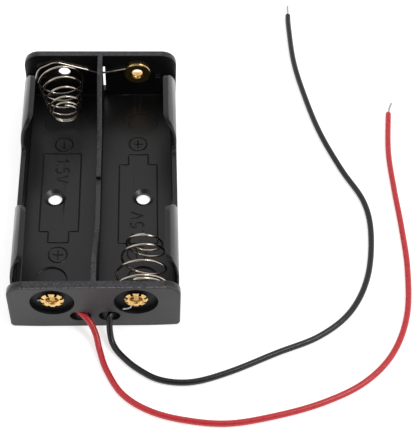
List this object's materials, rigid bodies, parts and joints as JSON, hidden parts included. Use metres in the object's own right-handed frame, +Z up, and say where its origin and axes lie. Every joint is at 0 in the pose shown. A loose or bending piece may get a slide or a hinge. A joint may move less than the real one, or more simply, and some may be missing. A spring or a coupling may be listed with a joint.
{
  "type": "cylindrical cell holder",
  "caption": "Open moulded tray that holds cylindrical cells side by side, with coil spring and eyelet contacts and flying leads with tinned ends.",
  "frame": {"origin": "middle of the tray's underside", "axes": "+X across the cells, +Y along them, away from the wall that the leads leave through, +Z up out of the open side"},
  "size_m": [0.0797, 0.1078, 0.0138],
  "materials": {
    "tray": "satin black moulded plastic",
    "spring": "nickel-plated spring wire",
    "eyelet": "plain brass, pressed",
    "red_insulation": "red PVC insulation",
    "black_insulation": "black PVC insulation",
    "tinned": "tinned copper strands"
  },
  "bodies": {
    "root": {"tray": "tray", "series_spring": "spring", "negative_spring": "spring", "series_eyelet": "eyelet", "positive_eyelet": "eyelet", "negative_eyelet": "eyelet", "red_lead": "red_insulation", "red_tinned_end": "tinned", "red_strands": "tinned", "black_lead": "black_insulation", "black_tinned_end": "tinned", "black_strands": "tinned"}
  },
  "joints": []
}
